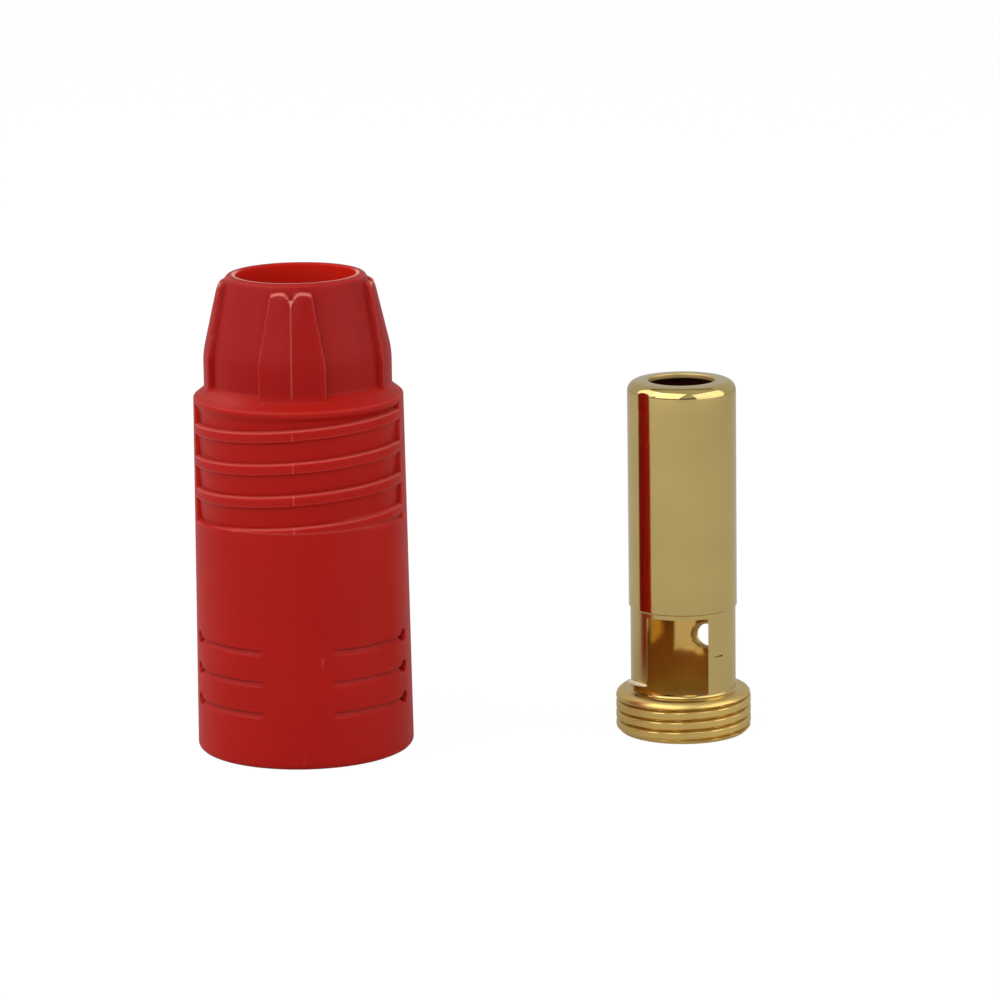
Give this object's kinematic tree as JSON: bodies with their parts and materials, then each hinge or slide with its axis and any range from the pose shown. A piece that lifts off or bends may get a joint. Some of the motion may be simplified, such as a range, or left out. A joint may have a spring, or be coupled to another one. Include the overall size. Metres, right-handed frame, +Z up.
{
  "type": "battery lead connector",
  "caption": "In-line battery lead connector taken apart: ribbed red moulded housing with a climbing grip ridge, beside its gold tube contact with window and threaded flange.",
  "frame": {"origin": "on the ground, in the middle of the bounding box of the two standing pieces", "axes": "+Z up along both axes, towards the housing's cable end and the contact's end wall; +X from the housing to the contact; -Y is the front, which the contact's window faces"},
  "size_m": [0.041, 0.0158, 0.0352],
  "materials": {
    "housing_red": "moulded satin nylon",
    "contact_gold": "polished gold plate on turned brass"
  },
  "bodies": {
    "root": {"housing": "housing_red", "contact": "contact_gold"}
  },
  "joints": []
}
